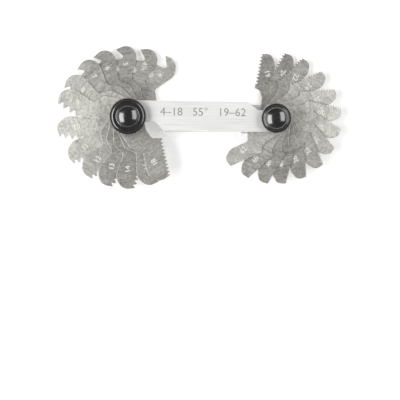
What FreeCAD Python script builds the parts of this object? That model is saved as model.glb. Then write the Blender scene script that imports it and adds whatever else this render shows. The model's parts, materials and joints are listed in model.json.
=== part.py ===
import FreeCAD, Part
import math
import os
from FreeCAD import Vector

# A folding thread pitch gauge: two fans of toothed leaves in one case of folded sheet.
# The origin is on the back plate's outer face, midway between the two pivots. +X runs from the
# left pivot to the right one, +Y to the far side of the case, +Z up to the clamping nuts.
# All lengths are in millimetres and all angles in degrees.

# Case: edges are measured from the line through the pivots
pivot_spacing = 57.0
sheet_thickness = 0.9
far_edge_left = 6.25
far_edge_right = 6.1
near_edge_left = 6.15
near_edge_right = 5.2
left_end_radius = 6.0
right_end_radius = 5.15
end_corner_share = 0.97
left_notch_floor = 1.9
right_notch_floor = 3.0
left_notch_length = 4.5
right_notch_length = 1.95
bend_radius = 0.7
bend_strip = 2.4
wall_past_heel = 2.5
wall_end_clearance = 1.0
tab_width = 1.9
tab_reach = 0.65
tab_from_pivot = 11.5

# Leaves: thickness, running gap and the set of pitches, from the bottom leaf to the top one
leaf_thickness = 0.42
leaf_gap = 0.03
left_threads_per_inch = [4, 4.5, 5, 6, 7, 8, 9, 10, 11, 12, 13, 14, 16, 18]
right_threads_per_inch = [19, 20, 22, 24, 25, 26, 28, 30, 32, 36, 40, 48, 60, 62]
left_angles = [59.7, 79.4, 99.9, 120.1, 137.3, 156.3, 171.2, 197.9, 222.2, 241.3, 258.6, 276.5,
               296.6, 306.8]
right_angles = [103.7, 83.8, 67.4, 47.4, 27.6, 10.0, -7.8, -25.4, -42.9, -61.3, -80.3, -96.1,
                -113.8, -132.6]
left_tip_trims = [0, 1.5, 1.5, 1.3, 1.0, 0.6, 0.2, 0, 0, 0, 0, 0, 0, 0]
left_leaf_reach = 27.7
leaf_tip_clearance = 3.8
left_toothed_length = 14.5
right_toothed_length = 13.2
toothed_edge_slope = 23.2
left_hub_radius = 5.9
right_hub_radius = 5.1

# Whitworth thread form
inch = 25.4
tooth_angle = 55.0
depth_per_pitch = 0.640
tooth_round_per_pitch = 0.1373
least_end_flat = 0.15

# Pivot screws, washers and clamping nuts
screw_radius = 2.0
head_radius = 3.4
head_depth = 0.75
driver_slot_width = 0.8
driver_slot_depth = 0.45
leaf_bore_clearance = 0.05
plate_bore_clearance = 0.06
head_clearance = 0.03
washer_bore_clearance = 0.08
thread_clearance = 0.05
washer_thickness = 0.5
washer_inset = 1.3
seat_gap = 0.02
left_nut_radius = 7.2
right_nut_radius = 5.9
knurl_spacing = 0.72
knurl_depth = 0.3
flange_thickness = 2.2
flange_chamfer = 0.35
collar_step = 0.9
collar_height = 0.6
dome_radius = 4.1
dome_wall_height = 0.9
dome_rise = 1.5
nut_roof = 0.9
screw_end_clearance = 0.4

# Levels above the back plate's outer face
leaves_per_end = max(len(left_threads_per_inch), len(right_threads_per_inch))
pocket_height = leaves_per_end * (leaf_thickness + leaf_gap) + leaf_gap
front_plate_bottom = sheet_thickness + pocket_height
front_plate_top = front_plate_bottom + sheet_thickness
washer_bottom = front_plate_top + seat_gap
nut_bottom = washer_bottom + washer_thickness + seat_gap
collar_bottom = nut_bottom + flange_thickness
dome_bottom = collar_bottom + collar_height
dome_top = dome_bottom + dome_wall_height + dome_rise
bore_top = dome_top - nut_roof
screw_top = bore_top - screw_end_clearance

left_pivot = Vector(-pivot_spacing / 2, 0, 0)
right_pivot = Vector(pivot_spacing / 2, 0, 0)
right_leaf_reach = pivot_spacing - left_leaf_reach - leaf_tip_clearance


def outline(corners):
    """A closed wire through (x, y, radius) corners, each rounded by an arc of its radius."""
    points = [Vector(x, y, 0) for x, y, radius in corners]
    loop, starts, ends, arcs = [], [], [], []
    for i, (x, y, radius) in enumerate(corners):
        here = points[i]
        before = (points[i - 1] - here).normalize()
        after = (points[(i + 1) % len(points)] - here).normalize()
        half = before.getAngle(after) / 2
        trim = radius / math.tan(half)
        inset = (before + after).normalize() * (radius / math.sin(half) - radius)
        starts.append(here + before * trim)
        ends.append(here + after * trim)
        arcs.append(Part.Arc(starts[i], here + inset, ends[i]).toShape() if radius else None)
    for i, arc in enumerate(arcs):
        if arc:
            loop.append(arc)
        loop.append(Part.LineSegment(ends[i], starts[(i + 1) % len(starts)]).toShape())
    return Part.Wire(loop)


def slab(wire, bottom, height):
    """The area inside the wire as a flat solid that starts at the level bottom."""
    solid = Part.Face(wire).extrude(Vector(0, 0, height))
    solid.translate(Vector(0, 0, bottom))
    return solid


def turned(profile, centre):
    """A solid turned about a vertical axis through centre, from (radius, z) points."""
    points = [Vector(radius, 0, z) for radius, z in profile]
    solid = Part.Face(Part.makePolygon(points + points[:1])).revolve(
        Vector(0, 0, 0), Vector(0, 0, 1), 360)
    solid.translate(centre)
    return solid


def rod(radius, bottom, top, centre):
    return Part.makeCylinder(radius, top - bottom, centre + Vector(0, 0, bottom))


def box(low, high):
    size = high - low
    return Part.makeBox(size.x, size.y, size.z, low)


def edge_at(x, left, right):
    """Distance of a long edge from the pivot line at x, where the case draws together."""
    share = (x - left_pivot.x) / pivot_spacing
    return left + share * (right - left)


def far_edge(x):
    return edge_at(x, far_edge_left, far_edge_right)


def near_edge(x):
    return edge_at(x, near_edge_left, near_edge_right)


# Case

# The near wall starts beyond the folded left leaves' heels and ends short of the right leaves'
# tips, and the far wall does the same for the leaves of the other end.
near_wall_start = left_pivot.x + left_leaf_reach - left_toothed_length * math.cos(
    math.radians(toothed_edge_slope)) - 0.07
near_wall_end = right_pivot.x - right_leaf_reach - wall_end_clearance
far_wall_start = left_pivot.x + left_leaf_reach + wall_end_clearance
far_wall_end = right_pivot.x - right_leaf_reach + right_toothed_length * math.cos(
    math.radians(toothed_edge_slope)) + wall_past_heel


def near_side():
    """Corners of both plates from the left end to the right end along the near side."""
    left, right = left_pivot.x, right_pivot.x
    return [
        (left - left_end_radius, left_end_radius, left_end_radius * end_corner_share),
        (left - left_end_radius, -left_end_radius, left_end_radius * end_corner_share),
        (left + 0.66 * left_end_radius, -left_end_radius, 1.2),
        (left + left_end_radius, -left_notch_floor, 1.0),
        (left + left_end_radius + left_notch_length, -left_notch_floor, 1.5),
        (near_wall_start, -near_edge(near_wall_start), 0.4),
        (right, -near_edge(right), 1.0),
        (right + right_end_radius, -right_end_radius, right_end_radius * end_corner_share),
        (right + right_end_radius, right_end_radius, right_end_radius * end_corner_share),
    ]


def far_side(notch):
    """Corners from the right end, through a notch's corners, to the left end's far side."""
    return notch + [
        (far_wall_end, far_edge(far_wall_end), 0.3),
        (left_pivot.x, far_edge(left_pivot.x), 1.0),
    ]


def along_edge(solid, start, edge):
    """Moves a solid made along +X, inside the line y = 0, to the near edge where start is."""
    slope = math.degrees(math.atan((edge(start) - edge(start + 1))))
    solid.rotate(Vector(0, 0, 0), Vector(0, 0, 1), slope)
    solid.translate(Vector(start, -edge(start), 0))
    return solid


def folded_wall(start, end, edge):
    """The strip of the front plate along its near edge, with the wall folded down from it."""
    profile = outline([
        (0, sheet_thickness, 0),
        (sheet_thickness, sheet_thickness, 0),
        (sheet_thickness, front_plate_bottom, 0),
        (bend_strip, front_plate_bottom, 0),
        (bend_strip, front_plate_top, 0),
        (0, front_plate_top, bend_radius),
    ])
    wall = Part.Face(profile).extrude(Vector(0, 0, end - start))
    wall.rotate(Vector(0, 0, 0), Vector(1, 1, 1), 120)
    return along_edge(wall, start, edge)


def strip_room(start, end, edge):
    """The room that the strip and the bend take up in the front plate."""
    room = box(Vector(0, -1, front_plate_bottom), Vector(end - start, bend_strip, front_plate_top))
    return along_edge(room, start, edge)


def upside_down(solid):
    """The same piece for the other plate: half a turn about X through the pocket's middle."""
    solid.rotate(Vector(0, 0, front_plate_top / 2), Vector(1, 0, 0), 180)
    return solid


def front_plate():
    notch_end = right_pivot.x - right_end_radius
    finger_notch = [
        (right_pivot.x - 0.66 * right_end_radius, right_end_radius, 0.8),
        (notch_end, right_notch_floor, 0.7),
        (notch_end - right_notch_length, right_notch_floor, 1.0),
    ]
    corners = near_side() + far_side(finger_notch)
    plate = slab(outline(corners), front_plate_bottom, sheet_thickness)
    plate = plate.cut(strip_room(near_wall_start, near_wall_end, near_edge))
    plate = plate.fuse(folded_wall(near_wall_start, near_wall_end, near_edge))
    for pivot in (left_pivot, right_pivot):
        plate = plate.cut(
            rod(screw_radius + plate_bore_clearance, front_plate_bottom, front_plate_top, pivot))
    return plate.removeSplitter()


def back_plate():
    bend_relief = (far_wall_end + sheet_thickness, right_end_radius, 0.4)
    corners = near_side() + far_side([bend_relief])
    plate = slab(outline(corners), 0, sheet_thickness)
    plate = plate.cut(upside_down(strip_room(far_wall_start, far_wall_end, far_edge)))
    plate = plate.fuse(upside_down(folded_wall(far_wall_start, far_wall_end, far_edge)))
    tab_end = right_pivot.x - tab_from_pivot
    tab = box(
        Vector(tab_end - tab_width, -near_edge(tab_end) - tab_reach, 0),
        Vector(tab_end, 0, sheet_thickness))
    plate = plate.fuse(tab)
    for pivot in (left_pivot, right_pivot):
        plate = plate.cut(countersink(head_clearance, pivot))
    return plate.removeSplitter()


# Pivot screws, washers and clamping nuts

def countersink(clearance, pivot):
    """The screw's head and its shank through the back plate, larger by the clearance."""
    return turned([
        (0, 0),
        (head_radius + clearance, 0),
        (screw_radius + clearance, head_depth),
        (screw_radius + clearance, sheet_thickness),
        (0, sheet_thickness),
    ], pivot)


def pivot_screw(pivot):
    screw = countersink(0, pivot).fuse(rod(screw_radius, sheet_thickness, screw_top, pivot))
    slot = box(
        pivot + Vector(-head_radius, -driver_slot_width / 2, 0),
        pivot + Vector(head_radius, driver_slot_width / 2, driver_slot_depth))
    return screw.cut(slot).removeSplitter()


def washer(pivot, nut_radius):
    top = washer_bottom + washer_thickness
    ring = rod(nut_radius - washer_inset, washer_bottom, top, pivot)
    return ring.cut(rod(screw_radius + washer_bore_clearance, washer_bottom, top, pivot))


def knurled_flange(pivot, radius):
    """A disc with V grooves round its rim and a chamfer on both edges."""
    grooves = round(2 * math.pi * radius / knurl_spacing)
    points = []
    for i in range(2 * grooves + 1):
        angle = math.pi * i / grooves
        reach = radius - knurl_depth * (i % 2)
        points.append(Vector(reach * math.cos(angle), reach * math.sin(angle), 0))
    flange = Part.Face(Part.makePolygon(points)).extrude(Vector(0, 0, flange_thickness))
    flange.translate(pivot + Vector(0, 0, nut_bottom))
    blank = turned([
        (0, nut_bottom),
        (radius - flange_chamfer, nut_bottom),
        (radius, nut_bottom + flange_chamfer),
        (radius, collar_bottom - flange_chamfer),
        (radius - flange_chamfer, collar_bottom),
        (0, collar_bottom),
    ], pivot)
    return flange.common(blank)


def dome(pivot):
    """A short cylinder with a shallow spherical top."""
    sphere_radius = (dome_radius ** 2 + dome_rise ** 2) / (2 * dome_rise)
    ball = Part.makeSphere(sphere_radius, pivot + Vector(0, 0, dome_top - sphere_radius))
    return rod(dome_radius, dome_bottom, dome_top, pivot).common(ball)


def clamping_nut(pivot, nut_radius):
    nut = knurled_flange(pivot, nut_radius)
    nut = nut.fuse(rod(nut_radius - collar_step, collar_bottom, dome_bottom, pivot))
    nut = nut.fuse(dome(pivot))
    return nut.cut(rod(screw_radius + thread_clearance, nut_bottom, bore_top, pivot))


# Leaves

def toothed_edge(tip, heel, threads_per_inch, trim=0):
    """Corners of the thread form cut into the edge from the tip, less a trim, to the heel."""
    pitch = inch / threads_per_inch
    sharp_height = pitch / 2 / math.tan(math.radians(tooth_angle / 2))
    rounded_off = (sharp_height - depth_per_pitch * pitch) / 2
    lead = pitch / 2 * (1 - rounded_off / sharp_height)
    tooth_round = tooth_round_per_pitch * pitch
    along = heel - tip
    length = along.Length
    along.normalize()
    outward = Vector(along.y, -along.x, 0)
    tip = tip + along * trim
    length = length - trim
    count = int((length - 2 * lead - least_end_flat * pitch) / pitch) + 1

    def corner(distance, level, radius):
        place = tip + along * distance + outward * level
        return place.x, place.y, radius

    corners = [corner(0, 0, 0)]
    for i in range(count):
        root = lead + i * pitch
        corners.append(corner(root, rounded_off - sharp_height, tooth_round))
        if i < count - 1:
            corners.append(corner(root + pitch / 2, rounded_off, tooth_round))
    corners.append(corner(root + lead, 0, tooth_round))
    corners.append(corner(length, 0, 0))
    return corners


def heel_of(reach, toothed_length):
    slope = math.radians(toothed_edge_slope)
    return Vector(reach - toothed_length * math.cos(slope), toothed_length * math.sin(slope), 0)


def left_leaf_corners(threads_per_inch, trim):
    """The wide leaf: hub, back with its waist and belly, teeth and finger notch."""
    reach, hub = left_leaf_reach, left_hub_radius
    heel = heel_of(reach, left_toothed_length)
    return [
        (-hub, -hub, hub * end_corner_share),
        (heel.x - 3.9, -hub - 0.7, 0.9),
        (heel.x - 0.1, -3.4, 1.4),
        (reach - 5.0, -7.35, 4.6),
        (reach + 0.2, -5.0, 4.0),
        *toothed_edge(Vector(reach, 0, 0), heel, threads_per_inch, trim),
        (heel.x - 2.1, 2.5, 1.3),
        (heel.x - 6.2, 2.6, 2.5),
        (1.6, hub, 2.0),
        (-hub, hub, hub * end_corner_share),
    ]


def right_leaf_corners(threads_per_inch):
    """The narrow leaf, with the same features."""
    reach, hub = right_leaf_reach, right_hub_radius
    heel = heel_of(reach, right_toothed_length)
    return [
        (-hub, -hub, hub * end_corner_share),
        (heel.x - 2.0, -hub + 0.4, 0.9),
        (heel.x + 0.6, -1.9, 1.3),
        (reach - 4.6, -4.8, 4.6),
        (reach - 0.6, -3.6, 2.6),
        *toothed_edge(Vector(reach, 0, 0), heel, threads_per_inch),
        (heel.x - 1.4, 3.7, 1.2),
        (heel.x - 4.2, 3.5, 2.0),
        (3.0, hub, 1.6),
        (-hub, hub, hub * end_corner_share),
    ]


def leaf(corners, pivot, angle, number):
    """A leaf at its own level of the stack, turned to where it stands."""
    blade = slab(outline(corners), 0, leaf_thickness)
    blade = blade.cut(rod(screw_radius + leaf_bore_clearance, 0, leaf_thickness, Vector(0, 0, 0)))
    blade.rotate(Vector(0, 0, 0), Vector(0, 0, 1), angle)
    level = sheet_thickness + leaf_gap + number * (leaf_thickness + leaf_gap)
    blade.translate(pivot + Vector(0, 0, level))
    return blade


def leaf_name(threads_per_inch):
    return "leaf_" + str(threads_per_inch).replace(".", "_") + "_tpi"


pieces = {
    "front_plate": front_plate(),
    "back_plate": back_plate(),
    "left_pivot_screw": pivot_screw(left_pivot),
    "right_pivot_screw": pivot_screw(right_pivot),
    "left_washer": washer(left_pivot, left_nut_radius),
    "right_washer": washer(right_pivot, right_nut_radius),
    "left_clamping_nut": clamping_nut(left_pivot, left_nut_radius),
    "right_clamping_nut": clamping_nut(right_pivot, right_nut_radius),
}
for number, threads in enumerate(left_threads_per_inch):
    corners = left_leaf_corners(threads, left_tip_trims[number])
    pieces[leaf_name(threads)] = leaf(corners, left_pivot, left_angles[number], number)
for number, threads in enumerate(right_threads_per_inch):
    corners = right_leaf_corners(threads)
    pieces[leaf_name(threads)] = leaf(corners, right_pivot, right_angles[number], number)

os.makedirs("parts", exist_ok=True)
for name, solid in pieces.items():
    solid.exportStep("parts/" + name + ".step")
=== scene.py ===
import json
import math
import bpy
import bmesh
from mathutils import Matrix, Vector


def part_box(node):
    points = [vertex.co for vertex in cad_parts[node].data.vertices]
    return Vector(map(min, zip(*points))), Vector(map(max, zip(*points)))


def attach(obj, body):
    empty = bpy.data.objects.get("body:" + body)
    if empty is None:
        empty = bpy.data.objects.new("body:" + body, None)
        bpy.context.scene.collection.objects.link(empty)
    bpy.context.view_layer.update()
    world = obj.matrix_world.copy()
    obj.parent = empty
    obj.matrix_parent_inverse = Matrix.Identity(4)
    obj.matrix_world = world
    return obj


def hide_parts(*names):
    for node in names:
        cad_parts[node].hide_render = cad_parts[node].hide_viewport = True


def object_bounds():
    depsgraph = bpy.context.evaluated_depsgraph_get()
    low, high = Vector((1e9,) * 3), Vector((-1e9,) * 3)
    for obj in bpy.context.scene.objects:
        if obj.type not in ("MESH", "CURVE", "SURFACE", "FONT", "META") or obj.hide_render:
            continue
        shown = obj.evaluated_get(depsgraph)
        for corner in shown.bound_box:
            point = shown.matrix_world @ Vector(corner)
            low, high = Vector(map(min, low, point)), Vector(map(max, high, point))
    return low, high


# A thread pitch gauge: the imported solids, dressed with broken edges on the leaves, stamped leaf
# numbers, knurled nuts and ground, plated and blackened steel. Everything is in metres.

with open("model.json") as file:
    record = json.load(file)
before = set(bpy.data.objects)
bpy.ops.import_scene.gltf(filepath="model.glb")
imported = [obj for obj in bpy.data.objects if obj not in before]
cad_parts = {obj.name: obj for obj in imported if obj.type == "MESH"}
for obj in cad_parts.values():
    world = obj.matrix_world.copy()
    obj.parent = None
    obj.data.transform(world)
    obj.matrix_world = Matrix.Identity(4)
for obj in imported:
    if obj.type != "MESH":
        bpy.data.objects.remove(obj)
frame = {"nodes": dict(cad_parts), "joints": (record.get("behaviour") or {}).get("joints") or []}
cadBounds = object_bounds()
mm = 0.001
joints = {joint["name"]: joint for joint in frame["joints"]}


def linearColour(text):
    channels = [int(text[i:i + 2], 16) / 255 for i in (0, 2, 4)]
    return [c / 12.92 if c <= 0.04045 else ((c + 0.055) / 1.055) ** 2.4 for c in channels] + [1]


# Adds a node. Settings are the node's own; inputs are values, or sockets to link from; stops are
# the places and colours of a colour ramp.
def addNode(tree, kind, inputs=None, stops=(), **settings):
    node = tree.nodes.new(kind)
    for name, value in settings.items():
        setattr(node, name, value)
    for key, value in (inputs or {}).items():
        if isinstance(value, bpy.types.NodeSocket):
            tree.links.new(value, node.inputs[key])
        else:
            node.inputs[key].default_value = value
    for index, (place, colour) in enumerate(stops):
        element = node.color_ramp.elements[index]
        element.position = place
        element.color = linearColour(colour)
    return node


def newMaterial(name):
    material = bpy.data.materials.new(name)
    material.use_nodes = True
    material.node_tree.nodes.clear()
    return material, material.node_tree


print("frame loaded")

# camera, light and floor

camera = {"lens": 232, "distance": 1000, "lookAt": (-0.4, -32.0), "over": (-0.4, -10.0), "roll": 0.7}


def makeCamera():
    lens = bpy.data.cameras.new("camera")
    lens.lens = camera["lens"]
    lens.sensor_width = 36
    lens.clip_start = 0.01
    eye = bpy.data.objects.new("camera", lens)
    bpy.context.scene.collection.objects.link(eye)
    place = Vector((camera["over"][0], camera["over"][1], camera["distance"])) * mm
    target = Vector((camera["lookAt"][0], camera["lookAt"][1], 0)) * mm
    ahead = (target - place).normalized()
    right = ahead.cross(Vector((0, 1, 0))).normalized()
    up = right.cross(ahead)
    turn = Matrix((right, up, -ahead)).transposed().to_4x4()
    eye.matrix_world = Matrix.Translation(place) @ turn @ Matrix.Rotation(
        math.radians(camera["roll"]), 4, "Z")
    bpy.context.scene.camera = eye


# Two soft boxes stand left and right, with their light 48 degrees from straight down
studio = {
    "world": 0.16, "lift": 0.34, "floorHalf": 3.0, "floorGap": 0.02,
    "left": {"size": (560, 1100), "place": (-735, -130, 669), "glow": 5.1},
    "right": {"size": (560, 1100), "place": (725, 200, 669), "glow": 3.2},
}


def makeSoftbox(name, width, depth, place, glow):
    light = bpy.data.lights.new(name, "AREA")
    light.shape = "RECTANGLE"
    light.size = width * mm
    light.size_y = depth * mm
    light.energy = glow * math.pi * light.size * light.size_y
    box = bpy.data.objects.new(name, light)
    bpy.context.scene.collection.objects.link(box)
    box.location = Vector(place) * mm
    # the lamp shines along its own -Z, straight at the middle of the case
    outwards = box.location.normalized()
    across = Vector((0, 1, 0)).cross(box.location).normalized()
    box.rotation_euler = Matrix((across, outwards.cross(across), outwards)).transposed().to_euler()


def makeStudio():
    world = bpy.data.worlds.new("studio")
    bpy.context.scene.world = world
    world.use_nodes = True
    tree = world.node_tree
    tree.nodes.clear()
    rays = addNode(tree, "ShaderNodeLightPath")
    plain = addNode(tree, "ShaderNodeBackground", {
        "Color": linearColour("ffffff"), "Strength": studio["world"]})
    white = addNode(tree, "ShaderNodeBackground", {"Color": linearColour("ffffff"), "Strength": 1.0})
    seen = addNode(tree, "ShaderNodeMixShader", {
        0: rays.outputs["Is Camera Ray"], 1: plain.outputs[0], 2: white.outputs[0]})
    addNode(tree, "ShaderNodeOutputWorld", {"Surface": seen.outputs[0]})
    for side in ("left", "right"):
        card = studio[side]
        makeSoftbox(side + "Softbox", *card["size"], card["place"], card["glow"])


def makeFloor():
    mesh = bpy.data.meshes.new("floor")
    half, level = studio["floorHalf"], cadBounds[0][2] - studio["floorGap"] * mm
    mesh.from_pydata([(-half, -half, level), (half, -half, level), (half, half, level),
                      (-half, half, level)], [], [(0, 1, 2, 3)])
    floor = bpy.data.objects.new("floor", mesh)
    bpy.context.scene.collection.objects.link(floor)
    # matt white card, lifted to plain white for the eye and in reflections; it keeps its shadow
    material, tree = newMaterial("mattWhiteCard")
    card = addNode(tree, "ShaderNodeBsdfDiffuse", {"Color": linearColour("f2f2f2")})
    rays = addNode(tree, "ShaderNodeLightPath")
    seen = addNode(tree, "ShaderNodeMath", {
        0: rays.outputs["Is Camera Ray"], 1: rays.outputs["Is Glossy Ray"]}, operation="MAXIMUM")
    lift = addNode(tree, "ShaderNodeMath", {0: seen.outputs[0], 1: studio["lift"]}, operation="MULTIPLY")
    glow = addNode(tree, "ShaderNodeEmission", {"Color": linearColour("ffffff"), "Strength": lift.outputs[0]})
    both = addNode(tree, "ShaderNodeAddShader", {0: card.outputs[0], 1: glow.outputs[0]})
    addNode(tree, "ShaderNodeOutputMaterial", {"Surface": both.outputs[0]})
    mesh.materials.append(material)


makeCamera()
makeStudio()
makeFloor()
print("camera, softboxes and floor made")

# materials

# hardened spring steel, surface ground across each leaf and dulled: satin grey that brightens
# where the leaf points at a softbox, with fine cross lines
leafFinish = {"light": "dfded8", "dark": "b2b0a9", "grain": 0.35, "roughness": 0.57, "anisotropy": 0.45}


def makeLeafSteel():
    material, tree = newMaterial("groundSpringSteel")
    grainMap = addNode(tree, "ShaderNodeUVMap", uv_map="grain")
    # ground lines are about 0.02 mm wide; drawn 0.15 to 0.35 mm wide so that they show
    lineScale = addNode(tree, "ShaderNodeMapping", {
        "Vector": grainMap.outputs[0], "Scale": (1000 / leafFinish["grain"], 1000 / 9, 1)})
    lines = addNode(tree, "ShaderNodeTexNoise", {
        "Vector": lineScale.outputs[0], "Scale": 1.0, "Detail": 3.0, "Roughness": 0.6})
    coordinates = addNode(tree, "ShaderNodeTexCoord")
    clouds = addNode(tree, "ShaderNodeTexNoise", {
        "Vector": coordinates.outputs["Object"], "Scale": 1000 / 6, "Detail": 4.0})
    flecks = addNode(tree, "ShaderNodeTexNoise", {
        "Vector": coordinates.outputs["Object"], "Scale": 1000 / 0.9, "Detail": 2.0})
    wear = addNode(tree, "ShaderNodeMix", {
        0: 0.6, 2: clouds.outputs[0], 3: flecks.outputs[0]}, data_type="FLOAT")
    blend = addNode(tree, "ShaderNodeMix", {
        0: 0.6, 2: lines.outputs[0], 3: wear.outputs[0]}, data_type="FLOAT")
    colour = addNode(tree, "ShaderNodeValToRGB", {"Fac": blend.outputs[0]}, [
        (0.4, leafFinish["dark"]), (0.58, leafFinish["light"])])
    gloss = addNode(tree, "ShaderNodeMapRange", {
        "Value": lines.outputs[0], "From Min": 0.3, "From Max": 0.7,
        "To Min": leafFinish["roughness"] - 0.05, "To Max": leafFinish["roughness"] + 0.06})
    relief = addNode(tree, "ShaderNodeBump", {
        "Height": lines.outputs[0], "Strength": 0.25, "Distance": 0.02 * mm})
    along = addNode(tree, "ShaderNodeTangent", direction_type="UV_MAP", uv_map="grain")
    steel = addNode(tree, "ShaderNodeBsdfPrincipled", {
        "Base Color": colour.outputs["Color"], "Metallic": 1.0, "Roughness": gloss.outputs[0],
        "Anisotropic": leafFinish["anisotropy"], "Tangent": along.outputs[0],
        "Normal": relief.outputs[0]})
    addNode(tree, "ShaderNodeOutputMaterial", {"Surface": steel.outputs[0]})
    return material


# the floor of a stamped number: the same steel, bruised bright and rough by the punch
def makeStampedSteel():
    material, tree = newMaterial("punchedSpringSteel")
    coordinates = addNode(tree, "ShaderNodeTexCoord")
    grit = addNode(tree, "ShaderNodeTexNoise", {
        "Vector": coordinates.outputs["Object"], "Scale": 1000 / 0.4, "Detail": 2.0})
    colour = addNode(tree, "ShaderNodeValToRGB", {"Fac": grit.outputs[0]}, [
        (0.3, "eeede8"), (0.7, "fbfaf7")])
    steel = addNode(tree, "ShaderNodeBsdfPrincipled", {
        "Base Color": colour.outputs["Color"], "Metallic": 1.0, "Roughness": 0.66})
    addNode(tree, "ShaderNodeOutputMaterial", {"Surface": steel.outputs[0]})
    return material


# nickel plated sheet, linished along its length before plating: nearly white, with soft long lines
caseFinish = {"light": "fdfdfb", "dark": "f6f6f4", "line": 0.3, "roughness": 0.62}


def makeCaseSteel():
    material, tree = newMaterial("nickelPlatedSheet")
    coordinates = addNode(tree, "ShaderNodeTexCoord")
    # linishing lines of about 0.05 mm, drawn 0.3 mm wide so that they show
    stretched = addNode(tree, "ShaderNodeMapping", {
        "Vector": coordinates.outputs["Object"],
        "Scale": (1000 / 18, 1000 / caseFinish["line"], 1000 / caseFinish["line"])})
    lines = addNode(tree, "ShaderNodeTexNoise", {
        "Vector": stretched.outputs[0], "Scale": 1.0, "Detail": 3.0})
    colour = addNode(tree, "ShaderNodeValToRGB", {"Fac": lines.outputs[0]}, [
        (0.35, caseFinish["dark"]), (0.6, caseFinish["light"])])
    gloss = addNode(tree, "ShaderNodeMapRange", {
        "Value": lines.outputs[0], "From Min": 0.3, "From Max": 0.7,
        "To Min": caseFinish["roughness"] - 0.04, "To Max": caseFinish["roughness"] + 0.06})
    relief = addNode(tree, "ShaderNodeBump", {
        "Height": lines.outputs[0], "Strength": 0.12, "Distance": 0.01 * mm})
    steel = addNode(tree, "ShaderNodeBsdfPrincipled", {
        "Base Color": colour.outputs["Color"], "Metallic": 1.0, "Roughness": gloss.outputs[0],
        "Normal": relief.outputs[0]})
    addNode(tree, "ShaderNodeOutputMaterial", {"Surface": steel.outputs[0]})
    return material


# etched numbers on the plated sheet: dull grey, slightly broken
def makeEtching():
    material, tree = newMaterial("etchedNumber")
    coordinates = addNode(tree, "ShaderNodeTexCoord")
    grit = addNode(tree, "ShaderNodeTexNoise", {
        "Vector": coordinates.outputs["Object"], "Scale": 1000 / 0.25, "Detail": 2.0})
    colour = addNode(tree, "ShaderNodeValToRGB", {"Fac": grit.outputs[0]}, [
        (0.3, "8d8b88"), (0.75, "b3b1ad")])
    etched = addNode(tree, "ShaderNodeBsdfPrincipled", {
        "Base Color": colour.outputs["Color"], "Metallic": 0.4, "Roughness": 0.7})
    addNode(tree, "ShaderNodeOutputMaterial", {"Surface": etched.outputs[0]})
    return material


# turned and knurled steel under glossy black stove enamel: deep black with a clear gloss,
# a little worn to brown on the knurl
nutFinish = {"black": "0a0809", "worn": "1c1817", "roughness": 0.2, "coat": 1.0}


def makeBlackEnamel():
    material, tree = newMaterial("blackStoveEnamel")
    coordinates = addNode(tree, "ShaderNodeTexCoord")
    wear = addNode(tree, "ShaderNodeTexNoise", {
        "Vector": coordinates.outputs["Object"], "Scale": 1000 / 2.5, "Detail": 5.0})
    colour = addNode(tree, "ShaderNodeValToRGB", {"Fac": wear.outputs[0]}, [
        (0.45, nutFinish["black"]), (0.75, nutFinish["worn"])])
    gloss = addNode(tree, "ShaderNodeMapRange", {
        "Value": wear.outputs[0], "From Min": 0.3, "From Max": 0.7,
        "To Min": nutFinish["roughness"] - 0.05, "To Max": nutFinish["roughness"] + 0.1})
    dimple = addNode(tree, "ShaderNodeTexNoise", {
        "Vector": coordinates.outputs["Object"], "Scale": 1000 / 0.9, "Detail": 1.0})
    relief = addNode(tree, "ShaderNodeBump", {
        "Height": dimple.outputs[0], "Strength": 0.05, "Distance": 0.02 * mm})
    enamel = addNode(tree, "ShaderNodeBsdfPrincipled", {
        "Base Color": colour.outputs["Color"], "Metallic": 0.0, "Roughness": gloss.outputs[0], "IOR": 1.5,
        "Specular IOR Level": 1.0, "Coat Weight": nutFinish["coat"], "Coat Roughness": 0.08,
        "Coat IOR": 1.6, "Normal": relief.outputs[0]})
    addNode(tree, "ShaderNodeOutputMaterial", {"Surface": enamel.outputs[0]})
    return material


# bright turned steel of the screws and washers: faint rings about the axis
def makeTurnedSteel():
    material, tree = newMaterial("turnedSteel")
    turning = addNode(tree, "ShaderNodeUVMap", uv_map="turning")
    # feed marks of about 0.1 mm, drawn 0.25 mm apart
    rings = addNode(tree, "ShaderNodeTexWave", {
        "Vector": turning.outputs[0], "Scale": 1000 / 0.25 / 20, "Distortion": 0.6,
        "Detail": 2.0}, bands_direction="Y")
    colour = addNode(tree, "ShaderNodeValToRGB", {"Fac": rings.outputs["Fac"]}, [
        (0.0, "b4b3af"), (1.0, "cfceca")])
    relief = addNode(tree, "ShaderNodeBump", {
        "Height": rings.outputs["Fac"], "Strength": 0.2, "Distance": 0.01 * mm})
    steel = addNode(tree, "ShaderNodeBsdfPrincipled", {
        "Base Color": colour.outputs["Color"], "Metallic": 1.0, "Roughness": 0.3, "Normal": relief.outputs[0]})
    addNode(tree, "ShaderNodeOutputMaterial", {"Surface": steel.outputs[0]})
    return material


# the side walls and steep rim facets of a leaf: dull dark grey round a bright face, painted shade along the
# leaf edges
def makePaintedShadeEdge():
    material, tree = newMaterial("paintedEdgeShade")
    coordinates = addNode(tree, "ShaderNodeTexCoord")
    patches = addNode(tree, "ShaderNodeTexNoise", {
        "Vector": coordinates.outputs["Object"], "Scale": 1000 / 1.2, "Detail": 3.0})
    colour = addNode(tree, "ShaderNodeValToRGB", {"Fac": patches.outputs[0]}, [
        (0.35, "6b6963"), (0.65, "8f8d86")])
    edgeShadeSteel = addNode(tree, "ShaderNodeBsdfPrincipled", {
        "Base Color": colour.outputs["Color"], "Metallic": 1.0, "Roughness": 0.55})
    addNode(tree, "ShaderNodeOutputMaterial", {"Surface": edgeShadeSteel.outputs[0]})
    return material


leafSteel = makeLeafSteel()
paintedShadeEdge = makePaintedShadeEdge()
stampedSteel = makeStampedSteel()
caseSteel = makeCaseSteel()
etching = makeEtching()
blackEnamel = makeBlackEnamel()
turnedSteel = makeTurnedSteel()
print("materials made")

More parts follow.
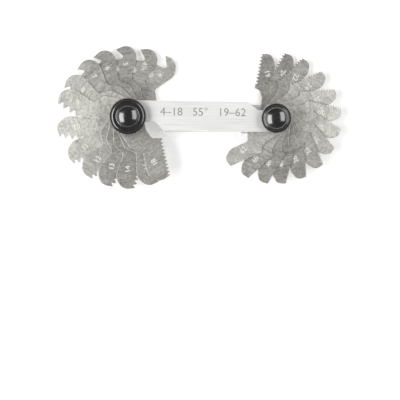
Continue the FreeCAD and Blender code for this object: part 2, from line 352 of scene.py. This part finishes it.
# shared making

# Smooth shading, with sharp edges at corners and round every level face, which stays flat
def shadeFlats(mesh):
    mesh.shade_smooth()
    mesh.set_sharp_from_angle(angle=math.radians(35))
    shape = bmesh.new()
    shape.from_mesh(mesh)
    for edge in shape.edges:
        level = [abs(face.normal.z) > 0.9999 for face in edge.link_faces]
        if any(level) and not all(level):
            edge.smooth = False
    shape.to_mesh(mesh)
    shape.free()


def addPiece(name, mesh, material, body, slot, *nodes):
    piece = bpy.data.objects.new(name, mesh)
    bpy.context.scene.collection.objects.link(piece)
    if not mesh.materials:
        mesh.materials.append(material)
    shadeFlats(mesh)
    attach(piece, body)
    if nodes:
        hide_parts(*nodes)
    return piece


# A merged copy of a node's mesh with its flat sides made whole and the rims of its flat faces
# broken. keepSharp tells which rim edges stay as they are. clamped holds the width to what the
# shortest edge allows, which on the case's sheets leaves the rims as good as sharp.
def brokenEdges(node, width, keepSharp=None, steps=2, clamped=False):
    mesh = frame["nodes"][node].data.copy()
    mesh.name = node + "_dressed"
    mesh.materials.clear()
    shape = bmesh.new()
    shape.from_mesh(mesh)
    bmesh.ops.remove_doubles(shape, verts=shape.verts, dist=0.0005 * mm)
    bmesh.ops.dissolve_limit(shape, angle_limit=math.radians(0.5), verts=shape.verts, edges=shape.edges)
    rims = [edge for edge in shape.edges if len(edge.link_faces) == 2
            and edge.calc_face_angle() > math.radians(60)
            and not (keepSharp and keepSharp(edge))]
    bmesh.ops.bevel(shape, geom=rims, offset=width * mm, segments=steps, profile=0.6,
                    affect="EDGES", clamp_overlap=clamped)
    bmesh.ops.remove_doubles(shape, verts=shape.verts, dist=0.0005 * mm)
    shape.to_mesh(mesh)
    shape.free()
    return mesh


# A word as a flat mesh about its middle, with its foot on y = 0, or a solid one when deep.
# A capital is 0.73 of the font's size.
def wordMesh(words, height, deep=0.0, bold=0.02):
    curve = bpy.data.curves.new("word", "FONT")
    curve.body = words
    curve.size = height * mm / 0.73
    curve.align_x = "CENTER"
    curve.resolution_u = 3
    curve.extrude = deep * mm / 2
    curve.offset = bold * mm
    word = bpy.data.objects.new("word", curve)
    bpy.context.scene.collection.objects.link(word)
    bpy.context.view_layer.update()
    mesh = bpy.data.meshes.new_from_object(word.evaluated_get(bpy.context.evaluated_depsgraph_get()))
    bpy.data.objects.remove(word)
    return mesh


# leaves

leaves = {
    "leftReach": 27.7, "rightReach": 25.5, "leftClosed": 5.6, "rightClosed": 178.5,
    "rimWidth": 0.16, "numberHeight": 2.0, "leftNumber": (20.2, -2.3), "rightNumber": (17.6, -0.9),
    "numberDepth": 0.07, "numberBold": 0.05,
    "leftToothed": 14.5, "rightToothed": 13.2, "toothedSlope": 23.2, "toothedBand": 4.3,
    "leftGrain": 0.2, "rightGrain": 0.5,
}


def makeLeaf(node):
    joint = joints[node + "_pivot"]
    pivot = Vector(joint["pos_m"])
    left = pivot.x < 0
    closed = leaves["leftClosed"] if left else leaves["rightClosed"]
    angle = math.radians(closed - joint["range_deg"][0])
    place = Matrix.Translation((pivot.x, pivot.y, 0)) @ Matrix.Rotation(angle, 4, "Z")
    back = place.inverted()
    reach = leaves["leftReach"] if left else leaves["rightReach"]
    length = leaves["leftToothed"] if left else leaves["rightToothed"]
    slope = math.radians(leaves["toothedSlope"])

    # teeth stay sharp: edges near the line from the tip to the heel
    def onTeeth(edge):
        middle = back @ ((edge.verts[0].co + edge.verts[1].co) / 2) / mm
        fromTip = Vector((reach, 0)) - middle.to_2d()
        along = fromTip.dot(Vector((math.cos(slope), -math.sin(slope))))
        inside = fromTip.dot(Vector((math.sin(slope), math.cos(slope))))
        return -0.5 < along < length + 0.3 and abs(inside) < leaves["toothedBand"]

    mesh = brokenEdges(node, leaves["rimWidth"], onTeeth)
    mesh.materials.append(leafSteel)
    mesh.materials.append(stampedSteel)
    mesh.materials.append(paintedShadeEdge)
    # side walls and steep rim facets take the dark edge steel, which paints shade along the leaf edges
    for face in mesh.polygons:
        face.material_index = 2 if abs(face.normal.z) < 0.6 else 0
    piece = bpy.data.objects.new(node + "_blade", mesh)
    bpy.context.scene.collection.objects.link(piece)

    # the threads per inch, punched into the upper face
    top = max(vertex.co.z for vertex in mesh.vertices)
    number = node[5:-4].replace("_5", "½")
    punch = wordMesh(number, leaves["numberHeight"], leaves["numberDepth"] * 2, leaves["numberBold"])
    punch.materials.clear()
    punch.materials.append(stampedSteel)
    x, y = leaves["leftNumber"] if left else leaves["rightNumber"]
    punch.transform(place @ Matrix.Translation((x * mm, y * mm, top)) @ Matrix.Rotation(
        math.pi, 4, "Z") @ Matrix.Translation((0, -leaves["numberHeight"] / 2 * mm, 0)))
    cutter = bpy.data.objects.new("punch", punch)
    bpy.context.scene.collection.objects.link(cutter)
    cut = piece.modifiers.new("punch", "BOOLEAN")
    cut.object = cutter
    cut.operation = "DIFFERENCE"
    cut.solver = "EXACT"
    cut.use_self = True  # keeps the 4 from standing up; its cut still has a few open edges
    cut.material_mode = "TRANSFER"
    bpy.context.view_layer.update()
    punched = bpy.data.meshes.new_from_object(piece.evaluated_get(bpy.context.evaluated_depsgraph_get()))
    bpy.data.objects.remove(piece)
    bpy.data.objects.remove(cutter)

    # the grain runs across the leaf, wherever the leaf points
    grain = punched.uv_layers.new(name="grain")
    shift = (leaves["leftGrain"] if left else leaves["rightGrain"]) + joint["range_deg"][0] * mm
    for loop in punched.loops:
        spot = back @ punched.vertices[loop.vertex_index].co
        grain.data[loop.index].uv = (spot.x, spot.y + shift)
    addPiece(node + "_blade", punched, leafSteel, node, "leaf_steel", node)


leafNodes = [name for name in frame["nodes"] if name.startswith("leaf_")]
for name in leafNodes:
    makeLeaf(name)
print("leaves made:", len(leafNodes))

# case

case = {"rimWidth": 0.16, "numberHeight": 3.2, "number": "4–18   55°   19–62",
        "numberPlace": (0.4, 0.6), "numberBold": -0.01, "etchProud": 0.006}


def makeCase():
    for node in ("front_plate", "back_plate"):
        sheet = brokenEdges(node, case["rimWidth"], clamped=True)
        addPiece(node + "_sheet", sheet, caseSteel, "case", "case_steel", node)
    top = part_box("front_plate")[1].z
    mesh = wordMesh(case["number"], case["numberHeight"], bold=case["numberBold"])
    x, y = case["numberPlace"]
    mesh.transform(Matrix.Translation((x * mm, y * mm, top + case["etchProud"] * mm)))
    mesh.materials.clear()
    addPiece("pitchNumbers", mesh, etching, "case", "case_steel")


makeCase()
print("case made")

# screws and washers

screws = {"rimWidth": 0.06, "mapRadius": 3}


# Unrolls the piece about its axis, so that rings follow the turning
def turningMap(mesh, centre):
    layer = mesh.uv_layers.new(name="turning")
    for loop in mesh.loops:
        spot = mesh.vertices[loop.vertex_index].co
        reach = math.hypot(spot.x - centre.x, spot.y - centre.y)
        turn = math.atan2(spot.y - centre.y, spot.x - centre.x)
        layer.data[loop.index].uv = (turn * screws["mapRadius"] * mm, reach + spot.z)


def makeTurned(node, body):
    low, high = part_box(node)
    mesh = brokenEdges(node, screws["rimWidth"])
    turningMap(mesh, (low + high) / 2)
    addPiece(node + "_turned", mesh, turnedSteel, body, "screw_steel", node)


for side in ("left", "right"):
    makeTurned(side + "_pivot_screw", "case")
    makeTurned(side + "_washer", side + "_washer")
print("screws and washers made")

# clamping nuts

nuts = {
    "left": {"radius": 7.2, "ridges": 63, "collar": 6.3, "dome": 4.1},
    "right": {"radius": 5.9, "ridges": 51, "collar": 5.0, "dome": 4.1},
    "shared": {"knurlDepth": 0.4, "flange": 2.2, "chamfer": 0.35, "collarHeight": 0.6,
               "domeWall": 0.9, "bore": 2.05, "roof": 0.9, "stepsPerRidge": 6,
               "collarRound": (0.9, 0.5), "domeFoot": 0.6, "crestFlat": 0.34},
}


# Points of an arc from one angle to another, in degrees, for turned profiles
def arcPoints(centre, radius, start, end, count):
    angles = [math.radians(start + (end - start) * i / count) for i in range(count + 1)]
    return [(centre[0] + radius * math.cos(a), centre[1] + radius * math.sin(a)) for a in angles]


def nutProfile(size, low, high):
    shared = nuts["shared"]
    rim, collar, dome = size["radius"], size["collar"], size["dome"]
    shoulder = low + shared["flange"]
    foot = shoulder + shared["collarHeight"]
    wallTop = foot + shared["domeWall"]
    rise = high - wallTop
    ball = (dome ** 2 + rise ** 2) / (2 * rise)
    half = math.degrees(math.asin(dome / ball))
    profile = [(0, high - shared["roof"]), (shared["bore"], high - shared["roof"]), (shared["bore"], low)]
    profile += [(rim - shared["chamfer"], low), (rim, low + shared["chamfer"])]
    profile += [(rim, shoulder - shared["chamfer"])]
    profile += [(rim - shared["chamfer"], shoulder), (collar + 0.1, shoulder)]
    wide, tall = shared["collarRound"]
    profile += [(collar - wide + wide * math.cos(a), foot - tall + tall * math.sin(a))
                for a in (math.pi / 2 * i / 8 for i in range(9))]
    fillet = shared["domeFoot"]
    profile += arcPoints((dome + fillet, foot + fillet), fillet, 270, 180, 6)
    profile += [(dome, wallTop - 0.25)]  # the dome starts a little inside its wall: a soft edge
    profile += arcPoints((0, high - ball), ball, 90 - half * 0.965, 90, 12)
    return profile


def turnedMesh(name, profile, centre, segments):
    shape = bmesh.new()
    rings = []
    for radius, z in profile:
        if radius < 1e-6:
            rings.append([shape.verts.new((centre.x, centre.y, z * mm))])
            continue
        rings.append([shape.verts.new((
            centre.x + radius * mm * math.cos(2 * math.pi * i / segments),
            centre.y + radius * mm * math.sin(2 * math.pi * i / segments), z * mm))
            for i in range(segments)])
    for lower, upper in zip(rings, rings[1:]):
        for i in range(segments):
            j = (i + 1) % segments
            corners = [lower[i % len(lower)], lower[j % len(lower)], upper[j % len(upper)],
                       upper[i % len(upper)]]
            shape.faces.new(list(dict.fromkeys(corners)))
    bmesh.ops.recalc_face_normals(shape, faces=shape.faces)
    mesh = bpy.data.meshes.new(name)
    shape.to_mesh(mesh)
    shape.free()
    return mesh


# Straight V knurling: every point further out than the ridged outline is drawn in to it
def knurlTree():
    tree = bpy.data.node_groups.new("straightKnurl", "GeometryNodeTree")
    face = tree.interface
    face.new_socket("Geometry", in_out="INPUT", socket_type="NodeSocketGeometry")
    for name in ("Radius", "Depth", "Ridges", "Axis X"):
        face.new_socket(name, in_out="INPUT", socket_type="NodeSocketFloat")
    face.new_socket("Material", in_out="INPUT", socket_type="NodeSocketMaterial")
    face.new_socket("Geometry", in_out="OUTPUT", socket_type="NodeSocketGeometry")
    given = addNode(tree, "NodeGroupInput").outputs
    place = addNode(tree, "ShaderNodeSeparateXYZ", {0: addNode(tree, "GeometryNodeInputPosition").outputs[0]})

    # 0 on a crest, which is a little flat, and 1 in a groove
    flat = nuts["shared"]["crestFlat"]
    value = {"pointX": place.outputs[0], "y": place.outputs[1], "axis": given["Axis X"],
             "radius": given["Radius"], "depth": given["Depth"], "ridges": given["Ridges"]}
    for name, operation, first, second in (
            ("x", "SUBTRACT", "pointX", "axis"),
            ("xSquare", "MULTIPLY", "x", "x"),
            ("ySquare", "MULTIPLY", "y", "y"),
            ("squares", "ADD", "xSquare", "ySquare"),
            ("reach", "SQRT", "squares", 0.0),
            ("turn", "ARCTAN2", "y", "x"),
            ("ridgeShare", "DIVIDE", "ridges", math.pi),
            ("share", "MULTIPLY", "turn", "ridgeShare"),
            ("zigzag", "PINGPONG", "share", 1.0),
            ("steep", "MULTIPLY", "zigzag", 1 + flat),
            ("lowered", "SUBTRACT", "steep", flat),
            ("wave", "MAXIMUM", "lowered", 0.0),
            ("groove", "MULTIPLY", "wave", "depth"),
            ("limit", "SUBTRACT", "radius", "groove"),
            ("nearer", "MINIMUM", "reach", "limit"),
            ("safeReach", "MAXIMUM", "reach", 1e-6),
            ("pulled", "DIVIDE", "nearer", "safeReach"),
            ("pulledX", "MULTIPLY", "x", "pulled"),
            ("newX", "ADD", "pulledX", "axis"),
            ("newY", "MULTIPLY", "y", "pulled")):
        value[name] = addNode(tree, "ShaderNodeMath", {
            0: value.get(first, first), 1: value.get(second, second)}, operation=operation).outputs[0]
    newPlace = addNode(tree, "ShaderNodeCombineXYZ", {
        0: value["newX"], 1: value["newY"], 2: place.outputs[2]})
    moved = addNode(tree, "GeometryNodeSetPosition", {
        "Geometry": given["Geometry"], "Position": newPlace.outputs[0]})
    real = addNode(tree, "GeometryNodeRealizeInstances", {0: moved.outputs[0]})
    painted = addNode(tree, "GeometryNodeSetMaterial", {
        "Geometry": real.outputs[0], "Material": given["Material"]})
    addNode(tree, "NodeGroupOutput", {0: painted.outputs[0]})
    return tree


def makeNut(side, knurl):
    size, shared = nuts[side], nuts["shared"]
    node = side + "_clamping_nut"
    low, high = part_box(node)
    centre = Vector(((low.x + high.x) / 2, 0, 0))
    profile = nutProfile(size, low.z / mm, high.z / mm)
    blank = turnedMesh(node + "_blank", profile, centre, size["ridges"] * shared["stepsPerRidge"])
    holder = bpy.data.objects.new(node + "_blank", blank)
    bpy.context.scene.collection.objects.link(holder)
    modifier = holder.modifiers.new("knurl", "NODES")
    modifier.node_group = knurl
    sockets = {item.name: item.identifier for item in knurl.interface.items_tree if item.in_out == "INPUT"}
    modifier[sockets["Radius"]] = size["radius"] * mm
    modifier[sockets["Depth"]] = shared["knurlDepth"] * mm
    modifier[sockets["Ridges"]] = float(size["ridges"])
    modifier[sockets["Axis X"]] = centre.x
    modifier[sockets["Material"]] = blackEnamel
    bpy.context.view_layer.update()
    mesh = bpy.data.meshes.new_from_object(holder.evaluated_get(bpy.context.evaluated_depsgraph_get()))
    bpy.data.objects.remove(holder)
    addPiece(node + "_knurled", mesh, blackEnamel, side + "_nut", "black_oxide", node)


knurl = knurlTree()
for side in ("left", "right"):
    makeNut(side, knurl)
print("clamping nuts made")

bpy.context.scene.view_settings.view_transform = "Standard"
